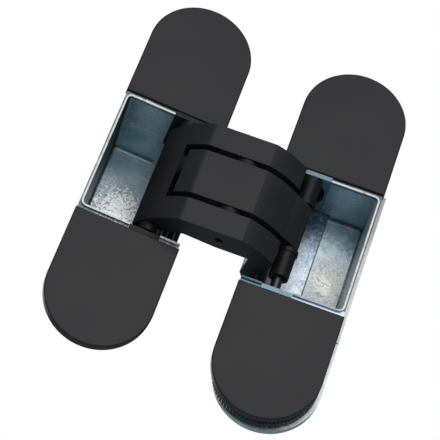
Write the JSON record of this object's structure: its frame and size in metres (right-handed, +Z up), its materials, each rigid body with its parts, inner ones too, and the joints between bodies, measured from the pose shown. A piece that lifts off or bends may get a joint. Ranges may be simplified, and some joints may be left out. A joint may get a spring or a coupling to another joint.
{
  "type": "concealed door hinge",
  "caption": "Concealed door hinge: two rounded bodies with deep pockets, joined by crossed arched arms on a centre pin that fold away into the pockets.",
  "frame": {"origin": "centre of the frame body's face, in the plane of the door frame's surface", "axes": "+X from the frame body to the door body across the opening, +Y into the timber, +Z up along the bodies and parallel to every pivot"},
  "size_m": [0.0799, 0.0435, 0.1126],
  "materials": {
    "cast_zinc": "bare die casting, crystalline satin",
    "block_zinc": "bare die casting, satin",
    "cap_black": "fine matte powder coat",
    "arm_black": "matte powder coat",
    "track_black": "moulded acetal",
    "bush_black": "moulded bearing polymer",
    "sleeve_black": "moulded acetal",
    "ring_steel": "blackened",
    "pin_steel": "ground",
    "screw_steel": "zinc plated"
  },
  "bodies": {
    "frame_body": {"frame_adjusters": "screw_steel", "frame_block_lower": "block_zinc", "frame_block_upper": "block_zinc", "frame_cap_lower": "cap_black", "frame_cap_upper": "cap_black", "frame_clamp_screws": "screw_steel", "frame_housing": "cast_zinc", "frame_pivot_pin": "pin_steel", "frame_track_lower": "track_black", "frame_track_upper": "track_black"},
    "inner_arm": {"inner_arm": "arm_black", "inner_arm_bush": "bush_black", "inner_arm_rings": "ring_steel", "inner_arm_sleeves": "sleeve_black", "inner_arm_slide_pin": "pin_steel"},
    "outer_arm": {"centre_bush": "bush_black", "centre_pin": "pin_steel", "centre_washers": "ring_steel", "outer_arm": "arm_black", "outer_arm_bushes": "bush_black", "outer_arm_sleeves": "sleeve_black", "outer_arm_slide_pin": "pin_steel"},
    "door_body": {"door_adjusters": "screw_steel", "door_block_lower": "block_zinc", "door_block_upper": "block_zinc", "door_cap_lower": "cap_black", "door_cap_upper": "cap_black", "door_clamp_screws": "screw_steel", "door_housing": "cast_zinc", "door_pivot_pin": "pin_steel", "door_track_lower": "cast_zinc", "door_track_upper": "cast_zinc"}
  },
  "joints": [
    {"name": "frame_pivot", "type": "hinge", "parent": "frame_body", "child": "inner_arm", "pos_m": [0.0113, 0.013, 0], "axis": [0, 0, -1], "range_deg": [-3.53, 79.09]},
    {"name": "centre_pivot", "type": "hinge", "parent": "inner_arm", "child": "outer_arm", "pos_m": [0.02346, -0.00579, 0], "axis": [0, 0, -1], "range_deg": [-0.63, 14.12]},
    {"name": "door_pivot", "type": "hinge", "parent": "outer_arm", "child": "door_body", "pos_m": [0.03804, 0.0112, 0], "axis": [0, 0, -1], "range_deg": [-3.54, 79.09]}
  ],
  "couplings": [
    {"joint": "centre_pivot", "follows": "frame_pivot", "ratio": 0.17847},
    {"joint": "door_pivot", "follows": "frame_pivot", "ratio": 1}
  ]
}
